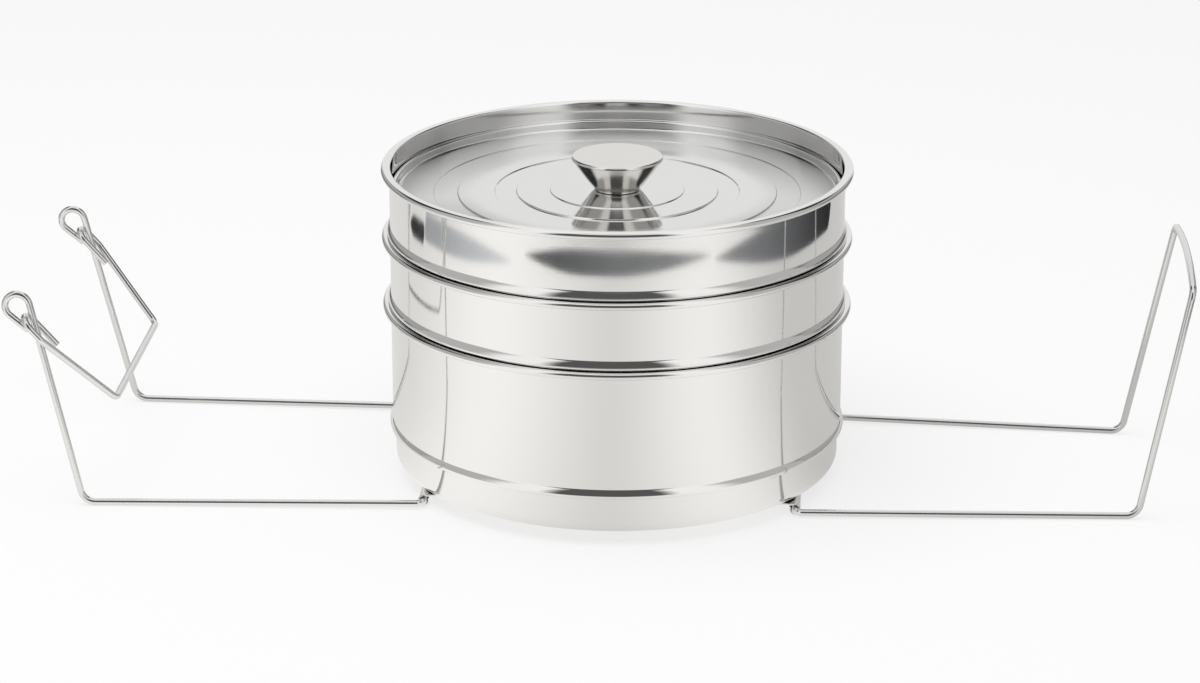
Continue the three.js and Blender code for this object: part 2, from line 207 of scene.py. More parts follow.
# Camera, fitted to the photograph
CAMERA_YAW = 3.57
CAMERA_RISE = 19.26
CAMERA_ROLL = 0.08
CAMERA_DISTANCE = 1.6
TARGET_RIGHT = -7.1
TARGET_HEIGHT = 50.8
SENSOR = 36.0
FOCAL_PIXELS = 3781
PHOTO_PIXELS = 1200

PAN_INSIDE = PAN_RADIUS - PAN_SHEET
FOOT_RADIUS = PAN_INSIDE - NEST_CLEARANCE
BEAD_DEPTH = PAN_RADIUS + BEAD_REACH - FOOT_RADIUS
BEAD_EDGE = FOOT_HEIGHT + BEAD_LIP
LID_RADIUS = PAN_INSIDE - LID_CLEARANCE
LID_DISH_RADIUS = LID_RADIUS - LID_HEM_WIDTH
LID_SATIN_INSIDE = OUTER_GROOVE_RADIUS - OUTER_GROOVE_WIDTH / 2
LID_SATIN_OUTSIDE = LID_DISH_RADIUS - LID_DISH_FILLET / 2
SCREW_HOLE = SCREW_RADIUS + SCREW_CLEARANCE
BARREL_BORE = WIRE_RADIUS + BARREL_CLEARANCE
BARREL_RADIUS = BARREL_BORE + PLATE_SHEET
BARREL_TOP = PLATE_SHEET - CRANK_DROP
HINGE_Z = BARREL_TOP - BARREL_RADIUS
TABLE_Z = HINGE_Z - BARREL_RADIUS
HINGE_HALF = PLATE_WIDTH / 2 + HINGE_BEND


# Mesh building

def arc(centre_r, centre_z, size_r, size_z, start, end, steps=12):
    """Points along an elliptic arc in the radius-height plane, angles in degrees."""
    points = []
    for i in range(steps + 1):
        angle = math.radians(start + (end - start) * i / steps)
        points.append((centre_r + size_r * math.cos(angle), centre_z + size_z * math.sin(angle)))
    return points


def add_object(name, mesh, material, sharp=SHARP_EDGE):
    """A smooth-shaded object of a mesh, with edges over an angle kept sharp and flat faces kept flat."""
    mesh.validate()
    mesh.shade_smooth()
    mesh.set_sharp_from_angle(angle=math.radians(sharp))
    mesh.materials.append(material)
    piece = bpy.data.objects.new(name, mesh)
    bpy.context.scene.collection.objects.link(piece)
    flat = piece.modifiers.new("flat_walls", "WEIGHTED_NORMAL")
    flat.keep_sharp = True
    return piece


def lathe(name, profile, base_z, material, sides=256):
    """A body turned about Z from a profile in millimetres that starts and ends on the axis or closes on itself."""
    bm = bmesh.new()
    rings = []
    for r, z in profile:
        height = (z + base_z) * MM
        if r < 1e-6:
            rings.append([bm.verts.new((0.0, 0.0, height))])
            continue
        ring = []
        for k in range(sides):
            angle = 2 * math.pi * k / sides
            ring.append(bm.verts.new((r * MM * math.cos(angle), r * MM * math.sin(angle), height)))
        rings.append(ring)
    pairs = list(zip(rings[:-1], rings[1:]))
    if len(rings[0]) > 1:
        pairs.append((rings[-1], rings[0]))
    for lower, upper in pairs:
        for k in range(sides):
            n = (k + 1) % sides
            if len(lower) == 1:
                bm.faces.new((lower[0], upper[n], upper[k]))
            elif len(upper) == 1:
                bm.faces.new((lower[k], lower[n], upper[0]))
            else:
                bm.faces.new((lower[k], lower[n], upper[n], upper[k]))
    bmesh.ops.recalc_face_normals(bm, faces=bm.faces)
    mesh = bpy.data.meshes.new(name)
    bm.to_mesh(mesh)
    bm.free()
    return add_object(name, mesh, material)


def bent_path(corners, step_deg=7.0, run=4.0):
    """Points along straight runs between corners, each corner rounded to its own bend radius."""
    points = [corners[0][0]]
    for i in range(1, len(corners) - 1):
        point, bend = corners[i]
        into = (point - corners[i - 1][0]).normalized()
        out = (corners[i + 1][0] - point).normalized()
        turn = into.angle(out)
        start = point - into * bend * math.tan(turn / 2)
        towards = (out - into * out.dot(into)).normalized()
        steps = max(3, math.ceil(math.degrees(turn) / step_deg), math.ceil(bend * turn / run))
        for k in range(steps + 1):
            angle = turn * k / steps
            place = start + into * bend * math.sin(angle) + towards * bend * (1 - math.cos(angle))
            if (place - points[-1]).length > 0.02:
                points.append(place)
    points.append(corners[-1][0])
    return points


def filled_in(points, longest=6.0):
    """The same path with long straight runs cut into shorter steps."""
    out = [points[0]]
    for a, b in zip(points[:-1], points[1:]):
        count = max(1, math.ceil((b - a).length / longest))
        out.extend(a.lerp(b, k / count) for k in range(1, count + 1))
    return out


def sweep(name, corners, material, sides=28):
    """A round wire along a bent path, with slightly broken edges at its cut ends."""
    points = filled_in(bent_path(corners))
    first = points[0] + (points[1] - points[0]).normalized() * WIRE_BREAK
    last = points[-1] + (points[-2] - points[-1]).normalized() * WIRE_BREAK
    stations = [(points[0], WIRE_RADIUS - WIRE_BREAK), (first, WIRE_RADIUS)]
    stations += [(p, WIRE_RADIUS) for p in points[1:-1]]
    stations += [(last, WIRE_RADIUS), (points[-1], WIRE_RADIUS - WIRE_BREAK)]
    bm = bmesh.new()
    uv = bm.loops.layers.uv.new("wire")
    rings = []
    lengths = [0.0]
    normal = None
    for i, (point, radius) in enumerate(stations):
        before = stations[max(0, i - 1)][0]
        after = stations[min(len(stations) - 1, i + 1)][0]
        tangent = (after - before).normalized()
        if normal is None:
            normal = tangent.orthogonal().normalized()
        else:
            normal = (normal - tangent * normal.dot(tangent)).normalized()
            lengths.append(lengths[-1] + (point - before).length * MM)
        side = tangent.cross(normal)
        ring = []
        for k in range(sides):
            angle = 2 * math.pi * k / sides
            place = point + normal * radius * math.cos(angle) + side * radius * math.sin(angle)
            ring.append(bm.verts.new(place * MM))
        rings.append(ring)
    for j, (a, b) in enumerate(zip(rings[:-1], rings[1:])):
        for k in range(sides):
            n = (k + 1) % sides
            face = bm.faces.new((a[k], a[n], b[n], b[k]))
            places = ((k, j), (k + 1, j), (k + 1, j + 1), (k, j + 1))
            for loop, (around, along) in zip(face.loops, places):
                loop[uv].uv = (around / sides, lengths[along])
    bm.faces.new(list(reversed(rings[0])))
    bm.faces.new(rings[-1])
    bmesh.ops.recalc_face_normals(bm, faces=bm.faces)
    mesh = bpy.data.meshes.new(name)
    bm.to_mesh(mesh)
    bm.free()
    return add_object(name, mesh, material, sharp=SHARP_WIRE)


# Materials

class Nodes:
    """A small helper that adds shader nodes and joins them."""

    def __init__(self, tree):
        self.tree = tree

    def add(self, kind, **settings):
        node = self.tree.nodes.new(kind)
        for key, value in settings.items():
            setattr(node, key, value)
        return node

    def link(self, source, target):
        self.tree.links.new(source, target)

    def math(self, operation, a, b=None):
        node = self.add("ShaderNodeMath", operation=operation)
        for socket, value in zip(node.inputs, (a, b)):
            if value is None:
                continue
            if isinstance(value, (int, float)):
                socket.default_value = value
            else:
                self.link(value, socket)
        return node.outputs[0]

    def vector(self, x, y, z):
        node = self.add("ShaderNodeCombineXYZ")
        for socket, value in zip(node.inputs, (x, y, z)):
            if isinstance(value, (int, float)):
                socket.default_value = value
            else:
                self.link(value, socket)
        return node.outputs[0]

    def noise(self, vector, scale, detail, rough):
        node = self.add("ShaderNodeTexNoise")
        node.inputs["Scale"].default_value = scale
        node.inputs["Detail"].default_value = detail
        node.inputs["Roughness"].default_value = rough
        self.link(vector, node.inputs["Vector"])
        return node.outputs["Fac"]

    def spread(self, value, low, high, to_low, to_high, easing="LINEAR"):
        """A change from one number to another as a value passes from low to high."""
        node = self.add("ShaderNodeMapRange", interpolation_type=easing)
        node.inputs["From Min"].default_value = low
        node.inputs["From Max"].default_value = high
        node.inputs["To Min"].default_value = to_low
        node.inputs["To Max"].default_value = to_high
        self.link(value, node.inputs["Value"])
        return node.outputs["Result"]

    def ramp(self, value, low, high, to_low, to_high):
        """The same change, easing in and out."""
        return self.spread(value, low, high, to_low, to_high, "SMOOTHSTEP")

    def bump(self, height, strength, distance):
        node = self.add("ShaderNodeBump")
        node.inputs["Strength"].default_value = strength
        node.inputs["Distance"].default_value = distance
        self.link(height, node.inputs["Height"])
        return node.outputs["Normal"]


def metal(name, color, anisotropic):
    """A bare metal, whose highlights stretch a quarter turn from its tangent, across the polishing lines."""
    material = bpy.data.materials.new(name)
    material.use_nodes = True
    shader = material.node_tree.nodes["Principled BSDF"]
    shader.inputs["Base Color"].default_value = (*color, 1.0)
    shader.inputs["Metallic"].default_value = 1.0
    shader.inputs["Anisotropic"].default_value = anisotropic
    shader.inputs["Anisotropic Rotation"].default_value = QUARTER_TURN
    return material, Nodes(material.node_tree), shader


def turned_steel(name, color, smooth, rough, line_scale, line_depth, anisotropic=0.3, satin_ring=None):
    """Steel polished on a lathe: fine rings about Z, faint short scratches and soft smudges.

    Where satin_ring gives two radii in metres, that finish lies between them and the rest is nearer a mirror.
    """
    material, nodes, shader = metal(name, color, anisotropic)
    place = nodes.add("ShaderNodeTexCoord").outputs["Object"]
    split = nodes.add("ShaderNodeSeparateXYZ")
    nodes.link(place, split.inputs[0])
    x, y, z = split.outputs
    squares = nodes.math("ADD", nodes.math("MULTIPLY", x, x), nodes.math("MULTIPLY", y, y))
    radius = nodes.math("SQRT", squares)
    angle = nodes.math("ARCTAN2", y, x)
    rings = nodes.noise(nodes.vector(radius, z, 0.0), scale=line_scale, detail=4.0, rough=0.7)
    drawn_out = nodes.vector(radius, z, nodes.math("MULTIPLY", angle, 0.004))
    scratches = nodes.noise(drawn_out, scale=line_scale * 1.7, detail=2.0, rough=0.6)
    smudges = nodes.noise(place, scale=22.0, detail=4.0, rough=0.6)
    base = nodes.spread(smudges, 0.3, 0.75, smooth, rough)
    fine = nodes.spread(rings, 0.3, 0.7, -0.015, 0.02)
    marks = nodes.spread(scratches, 0.66, 0.74, 0.0, 0.05)
    total = nodes.math("ADD", nodes.math("ADD", base, fine), marks)
    if satin_ring:
        inner, outer = satin_ring
        outside = nodes.ramp(radius, outer - SATIN_FADE_OUTSIDE, outer, 1.0, SATIN_LEFT_OUTSIDE)
        total = nodes.math("MULTIPLY", total, outside)
        inside = nodes.ramp(radius, inner - SATIN_FADE_INSIDE, inner, SATIN_LEFT_INSIDE, 1.0)
        total = nodes.math("MULTIPLY", total, inside)
    nodes.link(total, shader.inputs["Roughness"])
    tangent = nodes.add("ShaderNodeTangent", direction_type="RADIAL", axis="Z")
    nodes.link(tangent.outputs[0], shader.inputs["Tangent"])
    nodes.link(nodes.bump(rings, strength=0.12, distance=line_depth), shader.inputs["Normal"])
    return material


def drawn_wire(name, color):
    """Drawn and polished wire: faint lines along its length and small dull patches."""
    material, nodes, shader = metal(name, color, 0.0)
    place = nodes.add("ShaderNodeTexCoord")
    split = nodes.add("ShaderNodeSeparateXYZ")
    nodes.link(place.outputs["UV"], split.inputs[0])
    turn = nodes.math("MULTIPLY", split.outputs[0], 2 * math.pi)
    streak = nodes.vector(nodes.math("COSINE", turn), nodes.math("SINE", turn),
                          nodes.math("MULTIPLY", split.outputs[1], 6.0))
    lines = nodes.noise(streak, scale=9.0, detail=4.0, rough=0.7)
    patches = nodes.noise(place.outputs["Object"], scale=60.0, detail=3.0, rough=0.6)
    base = nodes.spread(patches, 0.3, 0.75, 0.1, 0.19)
    fine = nodes.spread(lines, 0.3, 0.7, -0.03, 0.05)
    nodes.link(nodes.math("ADD", base, fine), shader.inputs["Roughness"])
    nodes.link(nodes.bump(lines, strength=0.1, distance=0.00004), shader.inputs["Normal"])
    return material


def rolled_sheet(name, color):
    """Sheet steel with a rolled grain along X."""
    material, nodes, shader = metal(name, color, 0.0)
    place = nodes.add("ShaderNodeTexCoord").outputs["Object"]
    split = nodes.add("ShaderNodeSeparateXYZ")
    nodes.link(place, split.inputs[0])
    x, y, z = split.outputs
    drawn_out = nodes.vector(nodes.math("MULTIPLY", x, 0.02), y, z)
    grain = nodes.noise(drawn_out, scale=1800.0, detail=3.0, rough=0.7)
    smudges = nodes.noise(place, scale=30.0, detail=4.0, rough=0.6)
    base = nodes.spread(smudges, 0.3, 0.75, 0.12, 0.22)
    fine = nodes.spread(grain, 0.3, 0.7, -0.03, 0.05)
    nodes.link(nodes.math("ADD", base, fine), shader.inputs["Roughness"])
    nodes.link(nodes.bump(grain, strength=0.1, distance=0.00003), shader.inputs["Normal"])
    return material


# Pieces

def pan_profile(height):
    """Floor, drawn-in foot, bead with a low lip, straight wall and an edge rolled outwards and under."""
    bead_rise = BEAD_HEIGHT - BEAD_LIP
    bead_round = (BEAD_REACH ** 2 + bead_rise ** 2) / (2 * BEAD_REACH)
    bead_centre = PAN_RADIUS + BEAD_REACH - bead_round
    across, span = PAN_RADIUS + BEAD_FILLET - bead_centre, bead_round + BEAD_FILLET
    bead_turn = math.degrees(math.acos(across / span))
    fillet_z = BEAD_EDGE + math.sqrt(span ** 2 - across ** 2)
    rim_round = RIM_HEIGHT / 2
    rim_centre = PAN_RADIUS + RIM_REACH - rim_round
    rim_foot = height - RIM_HEIGHT
    slit_top = height - RIM_SLIT_TOP
    inner = FOOT_CORNER - PAN_SHEET
    ledge = FOOT_RADIUS - PAN_SHEET
    profile = [(r, 0) for r in FLOOR_RINGS]
    profile += arc(FOOT_RADIUS - FOOT_CORNER, FOOT_CORNER, FOOT_CORNER, FOOT_CORNER, -90, 0)
    profile += [(FOOT_RADIUS, FOOT_HEIGHT - FOOT_EDGE_RUN)]
    profile += arc(FOOT_RADIUS + FOOT_EDGE, FOOT_HEIGHT - FOOT_EDGE, FOOT_EDGE, FOOT_EDGE, 180, 90, 4)
    profile += arc(FOOT_RADIUS, BEAD_EDGE, BEAD_DEPTH, BEAD_LIP, -70, 0)
    profile += arc(bead_centre, BEAD_EDGE, bead_round, bead_round, 0, bead_turn)[1:]
    profile += arc(PAN_RADIUS + BEAD_FILLET, fillet_z, BEAD_FILLET, BEAD_FILLET, 180 + bead_turn, 180, 6)[1:]
    profile += [(PAN_RADIUS, rim_foot - RIM_CUT), (PAN_RADIUS, slit_top)]
    profile += arc(PAN_RADIUS + RIM_SLIT / 2, slit_top, RIM_SLIT / 2, RIM_SLIT / 2, 150, 0, 5)
    profile += [(PAN_RADIUS + RIM_SLIT, rim_foot + RIM_CURL)]
    profile += arc(PAN_RADIUS + RIM_SLIT + RIM_CURL, rim_foot + RIM_CURL, RIM_CURL, RIM_CURL, 180, 270, 5)
    profile += arc(rim_centre, height - rim_round, rim_round, rim_round, -90, 90, 24)
    profile += arc(PAN_INSIDE + RIM_FILLET, height - RIM_FILLET, RIM_FILLET, RIM_FILLET, 90, 180)
    profile += arc(PAN_INSIDE + BEAD_FILLET, fillet_z, BEAD_FILLET, BEAD_FILLET, 180, 180 + bead_turn, 6)
    profile += arc(bead_centre - PAN_SHEET, BEAD_EDGE, bead_round, bead_round, bead_turn, 0)[1:]
    profile += arc(ledge, BEAD_EDGE, BEAD_DEPTH, BEAD_LIP - PAN_SHEET, 0, -75)[1:]
    profile += arc(ledge + FOOT_EDGE, FOOT_HEIGHT + PAN_SHEET - FOOT_EDGE, FOOT_EDGE, FOOT_EDGE, 90, 180, 4)
    profile += arc(FOOT_RADIUS - FOOT_CORNER, FOOT_CORNER, inner, inner, 0, -90)
    profile += [(r, PAN_SHEET) for r in reversed(FLOOR_RINGS)]
    return profile


def bead_seat():
    """Height on a pan at which its bead sits on the rim below."""
    share = (PAN_INSIDE + RIM_FILLET - FOOT_RADIUS) / BEAD_DEPTH
    return BEAD_EDGE - BEAD_LIP * math.sqrt(1 - share ** 2)


def lid_seat():
    """Height inside the top pan at which the lid's skirt stands."""
    share = (LID_RADIUS - (FOOT_RADIUS - PAN_SHEET)) / BEAD_DEPTH
    return BEAD_EDGE - (BEAD_LIP - PAN_SHEET) * math.sqrt(1 - share ** 2)


def lid_plate_top():
    """The plate's upper face from its edge inwards, with softly drawn steps."""
    steps = (
        (OUTER_GROOVE_RADIUS + OUTER_GROOVE_WIDTH / 2, -GROOVE_DEPTH),
        (OUTER_GROOVE_RADIUS - OUTER_GROOVE_WIDTH / 2, GROOVE_RISE),
        (INNER_GROOVE_RADIUS + INNER_GROOVE_WIDTH / 2, -GROOVE_DEPTH),
        (INNER_GROOVE_RADIUS - INNER_GROOVE_WIDTH / 2, GROOVE_RISE),
        (PLATEAU_RADIUS, PLATEAU_RISE),
    )
    z = LID_HEIGHT - LID_DISH_DEPTH
    points = []
    for radius, rise in steps:
        for k in range(STEP_CUTS + 1):
            share = k / STEP_CUTS
            ease = (1 - math.cos(math.pi * share)) / 2
            points.append((radius + LID_STEP_WIDTH * (0.5 - share), z + rise * ease))
        z += rise
    points += [(radius, z) for radius in (*PLATEAU_RINGS, SCREW_HOLE)]
    return points


def lid_profile():
    """Plate, folded edge and skirt, of one sheet."""
    top = lid_plate_top()
    under = [(r, z - LID_SHEET) for r, z in reversed(top)]
    dish = LID_HEIGHT - LID_DISH_DEPTH
    hem = LID_HEM_WIDTH / 2
    centre = LID_RADIUS - hem
    inner = LID_DISH_FILLET
    outer = LID_DISH_FILLET + LID_SHEET
    corner_r, corner_z = LID_DISH_RADIUS - inner, dish + inner
    profile = list(under)
    profile += arc(corner_r, corner_z, outer, outer, -90, 0)
    profile += [(LID_DISH_RADIUS + LID_SHEET, LID_HEIGHT - LID_SHEET)]
    profile += [(LID_RADIUS - LID_SHEET, LID_HEIGHT - LID_SHEET)]
    profile += [(LID_RADIUS - LID_SHEET, SKIRT_EDGE)]
    profile += arc(LID_RADIUS - LID_SHEET / 2, SKIRT_EDGE, LID_SHEET / 2, SKIRT_EDGE, 180, 360, 8)[1:]
    profile += arc(centre, LID_HEIGHT - LID_HEM_ROUND, hem, LID_HEM_ROUND, 0, 180, 24)
    profile += arc(corner_r, corner_z, inner, inner, 0, -90)
    profile += top
    return profile


def knob_profile():
    """A flare on a rounded foot, with a flat top and a blind screw hole."""
    flare_height = KNOB_HEIGHT - KNOB_EDGE - KNOB_FOOT_HEIGHT
    hole_top = SCREW_REACH + SCREW_CLEARANCE
    foot = KNOB_FOOT_RADIUS - KNOB_FOOT_HEIGHT
    profile = [(0, hole_top), (SCREW_HOLE, hole_top), (SCREW_HOLE, 0), (foot, 0)]
    profile += arc(foot, KNOB_FOOT_HEIGHT, KNOB_FOOT_HEIGHT, KNOB_FOOT_HEIGHT, -90, 0, 8)[1:-1]
    for k in range(FLARE_CUTS + 1):
        share = k / FLARE_CUTS
        r = KNOB_FOOT_RADIUS + (KNOB_RADIUS - KNOB_FOOT_RADIUS) * share ** KNOB_FLARE_POWER
        profile.append((r, KNOB_FOOT_HEIGHT + flare_height * share))
    profile += arc(KNOB_RADIUS - KNOB_EDGE, KNOB_HEIGHT - KNOB_EDGE, KNOB_EDGE, KNOB_EDGE, 0, 90, 14)[1:]
    profile += [(r, KNOB_HEIGHT) for r in KNOB_RINGS]
    return profile


def washer_profile():
    soft = WASHER_BREAK
    return [
        (SCREW_HOLE, 0), (WASHER_RADIUS - soft, 0), (WASHER_RADIUS, soft),
        (WASHER_RADIUS, WASHER_SHEET - soft), (WASHER_RADIUS - soft, WASHER_SHEET), (SCREW_HOLE, WASHER_SHEET),
    ]


def screw_profile():
    """A round head, a shank with rings for its thread, and a flat tip."""
    shank = SCREW_HEAD_HEIGHT + 3 * SEAT_GAP + WASHER_SHEET + LID_SHEET + SCREW_REACH
    edge = SCREW_HEAD_RADIUS - SCREW_HEAD_ROUND
    profile = [(0, 0)]
    profile += arc(edge, SCREW_HEAD_ROUND, SCREW_HEAD_ROUND, SCREW_HEAD_ROUND, -90, 0, 10)
    profile += [(SCREW_HEAD_RADIUS, SCREW_HEAD_HEIGHT), (SCREW_RADIUS, SCREW_HEAD_HEIGHT)]
    turns = int((shank - SCREW_HEAD_HEIGHT - THREAD_ROOM) / THREAD_PITCH)
    for k in range(turns):
        z = SCREW_HEAD_HEIGHT + THREAD_START + THREAD_PITCH * k
        profile += [(SCREW_RADIUS - THREAD_DEPTH, z), (SCREW_RADIUS, z + THREAD_PITCH / 2)]
    profile += [(SCREW_RADIUS - SCREW_TIP, shank), (0, shank)]
    return profile


def cut_cross(screw, base_z):
    """Sinks a cross recess into the underside of the screw's head."""
    bm = bmesh.new()
    for long_x, long_y in ((CROSS_REACH, CROSS_HALF), (CROSS_HALF, CROSS_REACH)):
        size = Matrix.Diagonal((2 * long_x * MM, 2 * long_y * MM, CROSS_DEPTH * MM, 1.0))
        bmesh.ops.create_cube(bm, size=1.0, matrix=Matrix.Translation((0, 0, base_z * MM)) @ size)
    mesh = bpy.data.meshes.new("cross")
    bm.to_mesh(mesh)
    bm.free()
    cutter = bpy.data.objects.new("cross", mesh)
    bpy.context.scene.collection.objects.link(cutter)
    cut = screw.modifiers.new("recess", "BOOLEAN")
    cut.operation = "DIFFERENCE"
    cut.solver = "EXACT"
    cut.use_self = True
    cut.object = cutter
    bpy.context.view_layer.update()
    done = bpy.data.meshes.new_from_object(screw.evaluated_get(bpy.context.evaluated_depsgraph_get()))
    screw.modifiers.clear()
    screw.data = done
    done.set_sharp_from_angle(angle=math.radians(SHARP_EDGE))
    bpy.data.objects.remove(cutter)


def sling_plate(material):
    """One strip, cranked down at both ends and rolled under into open barrels, with softened edges."""
    bend_end = HINGE_X - BARREL_RADIUS
    bend_start = bend_end - CRANK_RUN
    half_strip = [
        ((bend_start, PLATE_SHEET), (bend_start, 0.0)),
        ((bend_end, BARREL_TOP), (bend_end, BARREL_TOP - PLATE_SHEET)),
    ]
    for k in range(BARREL_CUTS + 1):
        angle = math.radians(90 - BARREL_WRAP * k / BARREL_CUTS)
        across, rise = math.cos(angle), math.sin(angle)
        half_strip.append(((HINGE_X + BARREL_RADIUS * across, HINGE_Z + BARREL_RADIUS * rise),
                           (HINGE_X + BARREL_BORE * across, HINGE_Z + BARREL_BORE * rise)))
    other_half = [tuple((-x, z) for x, z in pair) for pair in reversed(half_strip)]
    stations = other_half + half_strip
    half_width = PLATE_WIDTH / 2
    bm = bmesh.new()
    rings = []
    for (top_x, top_z), (under_x, under_z) in stations:
        places = ((top_x, -half_width, top_z), (top_x, half_width, top_z),
                  (under_x, half_width, under_z), (under_x, -half_width, under_z))
        rings.append([bm.verts.new(Vector(place) * MM) for place in places])
    for a, b in zip(rings[:-1], rings[1:]):
        for k in range(4):
            n = (k + 1) % 4
            bm.faces.new((a[k], a[n], b[n], b[k]))
    bm.faces.new(rings[0])
    bm.faces.new(rings[-1])
    bmesh.ops.recalc_face_normals(bm, faces=bm.faces)
    edges = [edge for edge in bm.edges if edge.calc_face_angle(0.0) > math.radians(SHARP_STRIP)]
    bmesh.ops.bevel(bm, geom=edges, offset=STRIP_BREAK * MM, segments=3, profile=0.5, affect="EDGES")
    mesh = bpy.data.meshes.new("sling_strip")
    bm.to_mesh(mesh)
    bm.free()
    return add_object("sling_strip", mesh, material)


def mirrored(corners):
    """The same corners on the front side, in the opposite order."""
    return [(Vector((p.x, -p.y, p.z)), bend) for p, bend in reversed(corners)]


def handle_side(outward, arm_span, top_span, upright, lean):
    """The corners of a handle's rear half: at the hinge, at the arm's end and at the upright's top."""
    hinge = Vector((outward * HINGE_X, HINGE_HALF, HINGE_Z))
    foot = Vector((outward * (HINGE_X + ARM_LENGTH), arm_span / 2, TABLE_Z + WIRE_RADIUS))
    reach = upright * math.sin(math.radians(lean))
    rise = upright * math.cos(math.radians(lean))
    top = Vector((foot.x + outward * reach, top_span / 2, foot.z + rise))
    return hinge, foot, top


def left_eye():
    """The left handle's rear half, up to its drop-shaped eye, and the bail's pivot in the eye's narrow end."""
    hinge, foot, top = handle_side(-1, LEFT_ARM_SPAN, LEFT_EYE_SPAN, LEFT_UPRIGHT, LEFT_LEAN)
    up = (top - foot).normalized()
    out = Vector((-1, 0, 0))
    out = (out - up * out.dot(up)).normalized()
    half = math.radians(EYE_TAPER / 2)
    apex = top - up * (EYE_RADIUS / math.tan(half))
    axis = up * math.cos(half) + out * math.sin(half)
    across = out * math.cos(half) - up * math.sin(half)
    tailward = up * math.cos(2 * half) + out * math.sin(2 * half)
    crown = apex + axis * (EYE_RADIUS / math.sin(half) + EYE_RADIUS)
    crown_half = EYE_RADIUS * math.tan(math.radians(45) + half / 2)
    corners = [
        (hinge, HINGE_BEND), (foot, ARM_BEND),
        (crown - across * crown_half, EYE_RADIUS), (crown + across * crown_half, EYE_RADIUS),
        (apex + tailward * ((2 * WIRE_RADIUS + SEAT_GAP) / math.sin(2 * half)), 0.0),
    ]
    pivot = apex + axis * ((2 * WIRE_RADIUS + HOOK_CLEARANCE) / math.sin(half))
    return corners, pivot


def left_handle(material):
    rear, _ = left_eye()
    return sweep("left_wire", mirrored(rear) + rear, material)


def right_handle(material):
    """One wire whose ends meet in the barrel, with a bowed grip across its top."""
    hinge, foot, top = handle_side(1, RIGHT_ARM_SPAN, RIGHT_GRIP_SPAN, RIGHT_UPRIGHT, RIGHT_LEAN)
    up = top - foot
    up.y = 0.0
    crest = Vector((top.x, 0.0, top.z)) + up.normalized() * 2 * GRIP_BOW
    run = RIGHT_GRIP_SPAN / 2 - 2 * GRIP_BEND
    grip_round = run / math.tan(math.atan(2 * GRIP_BOW / (RIGHT_GRIP_SPAN / 2)))
    rear = [
        (Vector((hinge.x, ROD_BUTT_GAP / 2, hinge.z)), 0.0),
        (hinge, HINGE_BEND), (foot, ARM_BEND), (top, GRIP_BEND),
    ]
    return sweep("right_wire", rear + [(crest, grip_round)] + mirrored(rear), material)


def lock_bail(material):
    """A wire frame hooked through both eyes, slanting down towards the pans."""
    _, pivot = left_eye()
    fall = math.radians(BAIL_ANGLE)
    down = Vector((math.sin(fall), 0.0, -math.cos(fall)))

    def strand(along, y):
        place = pivot + down * along
        place.y = y
        return place

    outer = pivot.y + BAIL_HOOK_RADIUS
    inner = pivot.y - BAIL_HOOK_RADIUS
    rear = [
        (strand(BAIL_LEG, BAIL_SPAN / 2), BAIL_BEND), (strand(BAIL_HOOK_LENGTH, outer), BAIL_BEND),
        (strand(0, outer), BAIL_HOOK_RADIUS), (strand(0, inner), BAIL_HOOK_RADIUS),
        (strand(BAIL_TAIL, inner), 0.0),
    ]
    return sweep("bail_wire", mirrored(rear) + rear, material)


# Surroundings

def turn_from_front(nodes, place):
    """The direction of a place round the Z axis, in degrees: 0 at the front, +90 to the right."""
    split = nodes.add("ShaderNodeSeparateXYZ")
    nodes.link(place, split.inputs[0])
    x, y, z = split.outputs
    turn = nodes.math("ARCTAN2", x, nodes.math("MULTIPLY", y, -1.0))
    return nodes.math("MULTIPLY", turn, 180 / math.pi), z


def wall_tone(nodes, turn):
    """The room's walls by direction: dark in front, a lit panel on either side, dark corners, a white backdrop."""
    side = nodes.math("ABSOLUTE", turn)
    front = nodes.ramp(side, *FRONT_END, DARK_FRONT, 1.0)
    panels = nodes.math("MULTIPLY", front, nodes.ramp(side, *PANEL_DIMMING, 1.0, DIM_SIDE))
    corners = nodes.ramp(side, *CORNER_START, 1.0, DARK_CORNER)
    backdrop = nodes.ramp(side, *BACKDROP_START, 0.0, WHITE_BACK)
    return nodes.math("MAXIMUM", nodes.math("MULTIPLY", panels, corners), backdrop)


